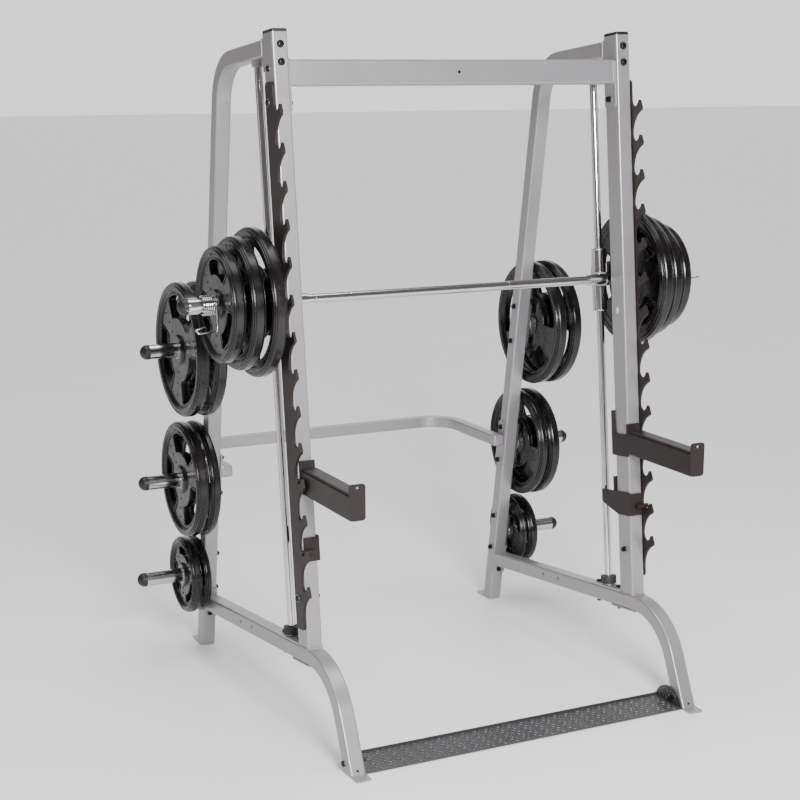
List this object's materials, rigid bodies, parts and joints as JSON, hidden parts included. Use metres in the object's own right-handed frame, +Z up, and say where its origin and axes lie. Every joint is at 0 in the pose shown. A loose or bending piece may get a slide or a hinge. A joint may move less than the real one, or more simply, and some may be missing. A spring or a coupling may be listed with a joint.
{
  "type": "smith machine",
  "caption": "Leaning smith machine with a guided bar, loaded weight plates, gun racks, spotter arms, safety stops, plate storage pegs, a rear brace and a tread plate foot bar.",
  "frame": {"origin": "on the floor below the middle of the whole machine", "axes": "+Z up, +X along the bar to the right, +Y from the front of the machine to its back"},
  "size_m": [1.836, 1.687, 2.1391],
  "materials": {
    "silver_paint": "metallic silver powder coat",
    "black_plastic": "satin black",
    "rack_paint": "charcoal brown powder coat",
    "arm_paint": "dark purple brown powder coat",
    "chrome": "polished",
    "zinc": "zinc plated",
    "black_steel": "black oxide",
    "bumper_rubber": "matt ribbed",
    "tread_plate": "dark grey diamond tread",
    "coated_iron": "rubber coated, glossy black"
  },
  "bodies": {
    "frame": {"left_upright": "silver_paint", "right_upright": "silver_paint", "upright_caps": "black_plastic", "left_rear_frame": "silver_paint", "right_rear_frame": "silver_paint", "left_base_frame": "silver_paint", "right_base_frame": "silver_paint", "crossbeam": "silver_paint", "rear_brace": "silver_paint", "left_hook_rack": "rack_paint", "right_hook_rack": "rack_paint", "left_guide_rod": "chrome", "right_guide_rod": "chrome", "rod_foot_plates": "silver_paint", "rod_top_collars": "zinc", "left_rubber_bumper": "bumper_rubber", "right_rubber_bumper": "bumper_rubber", "base_clamp_plates": "silver_paint", "foot_bar": "tread_plate", "frame_bolts": "black_steel", "frame_washers": "zinc", "frame_nuts": "black_steel", "left_storage_pegs": "chrome", "right_storage_pegs": "chrome", "peg_end_caps": "black_plastic"},
    "carriage": {"left_carriage": "chrome", "right_carriage": "chrome", "left_linear_bearings": "zinc", "right_linear_bearings": "zinc"},
    "bar": {"bar": "chrome", "left_bar_sleeve": "chrome", "right_bar_sleeve": "chrome", "bar_end_caps": "black_plastic", "left_latch_hook": "black_steel", "right_latch_hook": "black_steel"},
    "left_bar_plate_inner": {"left_bar_plate_inner": "coated_iron"},
    "left_bar_plate_middle": {"left_bar_plate_middle": "coated_iron"},
    "left_bar_plate_outer": {"left_bar_plate_outer": "coated_iron"},
    "left_spring_collar": {"left_spring_collar": "chrome"},
    "left_upper_plate_inner": {"left_upper_plate_inner": "coated_iron"},
    "left_upper_plate_outer": {"left_upper_plate_outer": "coated_iron"},
    "left_mid_plate_inner": {"left_mid_plate_inner": "coated_iron"},
    "left_mid_plate_outer": {"left_mid_plate_outer": "coated_iron"},
    "left_low_plate_inner": {"left_low_plate_inner": "coated_iron"},
    "left_low_plate_outer": {"left_low_plate_outer": "coated_iron"},
    "left_spotter_arm": {"left_spotter_arm": "arm_paint"},
    "left_safety_stop": {"left_safety_stop": "arm_paint"},
    "right_bar_plate_inner": {"right_bar_plate_inner": "coated_iron"},
    "right_bar_plate_middle": {"right_bar_plate_middle": "coated_iron"},
    "right_bar_plate_outer": {"right_bar_plate_outer": "coated_iron"},
    "right_spring_collar": {"right_spring_collar": "chrome"},
    "right_upper_plate_inner": {"right_upper_plate_inner": "coated_iron"},
    "right_upper_plate_outer": {"right_upper_plate_outer": "coated_iron"},
    "right_mid_plate_inner": {"right_mid_plate_inner": "coated_iron"},
    "right_mid_plate_outer": {"right_mid_plate_outer": "coated_iron"},
    "right_low_plate_inner": {"right_low_plate_inner": "coated_iron"},
    "right_low_plate_outer": {"right_low_plate_outer": "coated_iron"},
    "right_spotter_arm": {"right_spotter_arm": "arm_paint"},
    "right_safety_stop": {"right_safety_stop": "arm_paint"}
  },
  "joints": [
    {"name": "carriage_slide", "type": "slide", "parent": "frame", "child": "carriage", "axis": [0, 0.1045, 0.9945], "range_m": [-0.691, 0.5485]},
    {"name": "bar_turn", "type": "hinge", "parent": "carriage", "child": "bar", "pos_m": [0, -0.26205, 1.34156], "axis": [1, 0, 0], "range_deg": [0, 90]},
    {"name": "left_bar_plate_inner_spin", "type": "hinge", "parent": "bar", "child": "left_bar_plate_inner", "pos_m": [0, -0.26205, 1.34156], "axis": [1, 0, 0], "continuous": true},
    {"name": "left_bar_plate_middle_spin", "type": "hinge", "parent": "bar", "child": "left_bar_plate_middle", "pos_m": [0, -0.26205, 1.34156], "axis": [1, 0, 0], "continuous": true},
    {"name": "left_bar_plate_outer_spin", "type": "hinge", "parent": "bar", "child": "left_bar_plate_outer", "pos_m": [0, -0.26205, 1.34156], "axis": [1, 0, 0], "continuous": true},
    {"name": "left_spring_collar_slide", "type": "slide", "parent": "bar", "child": "left_spring_collar", "axis": [-1, 0, 0], "range_m": [0, 0.13]},
    {"name": "left_upper_plate_inner_slide", "type": "slide", "parent": "frame", "child": "left_upper_plate_inner", "axis": [-1, 0, 0], "range_m": [0, 0.24]},
    {"name": "left_upper_plate_outer_slide", "type": "slide", "parent": "left_upper_plate_inner", "child": "left_upper_plate_outer", "axis": [-1, 0, 0], "range_m": [0, 0.2]},
    {"name": "left_mid_plate_inner_slide", "type": "slide", "parent": "frame", "child": "left_mid_plate_inner", "axis": [-1, 0, 0], "range_m": [0, 0.24]},
    {"name": "left_mid_plate_outer_slide", "type": "slide", "parent": "left_mid_plate_inner", "child": "left_mid_plate_outer", "axis": [-1, 0, 0], "range_m": [0, 0.2]},
    {"name": "left_low_plate_inner_slide", "type": "slide", "parent": "frame", "child": "left_low_plate_inner", "axis": [-1, 0, 0], "range_m": [0, 0.24]},
    {"name": "left_low_plate_outer_slide", "type": "slide", "parent": "left_low_plate_inner", "child": "left_low_plate_outer", "axis": [-1, 0, 0], "range_m": [0, 0.2]},
    {"name": "left_spotter_arm_lift", "type": "slide", "parent": "frame", "child": "left_spotter_arm", "axis": [0, 0.1045, 0.9945], "range_m": [0, 0.035]},
    {"name": "left_safety_stop_lift", "type": "slide", "parent": "frame", "child": "left_safety_stop", "axis": [0, 0.1045, 0.9945], "range_m": [0, 0.035]},
    {"name": "right_bar_plate_inner_spin", "type": "hinge", "parent": "bar", "child": "right_bar_plate_inner", "pos_m": [0, -0.26205, 1.34156], "axis": [1, 0, 0], "continuous": true},
    {"name": "right_bar_plate_middle_spin", "type": "hinge", "parent": "bar", "child": "right_bar_plate_middle", "pos_m": [0, -0.26205, 1.34156], "axis": [1, 0, 0], "continuous": true},
    {"name": "right_bar_plate_outer_spin", "type": "hinge", "parent": "bar", "child": "right_bar_plate_outer", "pos_m": [0, -0.26205, 1.34156], "axis": [1, 0, 0], "continuous": true},
    {"name": "right_spring_collar_slide", "type": "slide", "parent": "bar", "child": "right_spring_collar", "axis": [1, 0, 0], "range_m": [0, 0.13]},
    {"name": "right_upper_plate_inner_slide", "type": "slide", "parent": "frame", "child": "right_upper_plate_inner", "axis": [1, 0, 0], "range_m": [0, 0.24]},
    {"name": "right_upper_plate_outer_slide", "type": "slide", "parent": "right_upper_plate_inner", "child": "right_upper_plate_outer", "axis": [1, 0, 0], "range_m": [0, 0.2]},
    {"name": "right_mid_plate_inner_slide", "type": "slide", "parent": "frame", "child": "right_mid_plate_inner", "axis": [1, 0, 0], "range_m": [0, 0.24]},
    {"name": "right_mid_plate_outer_slide", "type": "slide", "parent": "right_mid_plate_inner", "child": "right_mid_plate_outer", "axis": [1, 0, 0], "range_m": [0, 0.2]},
    {"name": "right_low_plate_inner_slide", "type": "slide", "parent": "frame", "child": "right_low_plate_inner", "axis": [1, 0, 0], "range_m": [0, 0.24]},
    {"name": "right_low_plate_outer_slide", "type": "slide", "parent": "right_low_plate_inner", "child": "right_low_plate_outer", "axis": [1, 0, 0], "range_m": [0, 0.2]},
    {"name": "right_spotter_arm_lift", "type": "slide", "parent": "frame", "child": "right_spotter_arm", "axis": [0, 0.1045, 0.9945], "range_m": [0, 0.035]},
    {"name": "right_safety_stop_lift", "type": "slide", "parent": "frame", "child": "right_safety_stop", "axis": [0, 0.1045, 0.9945], "range_m": [0, 0.035]}
  ]
}
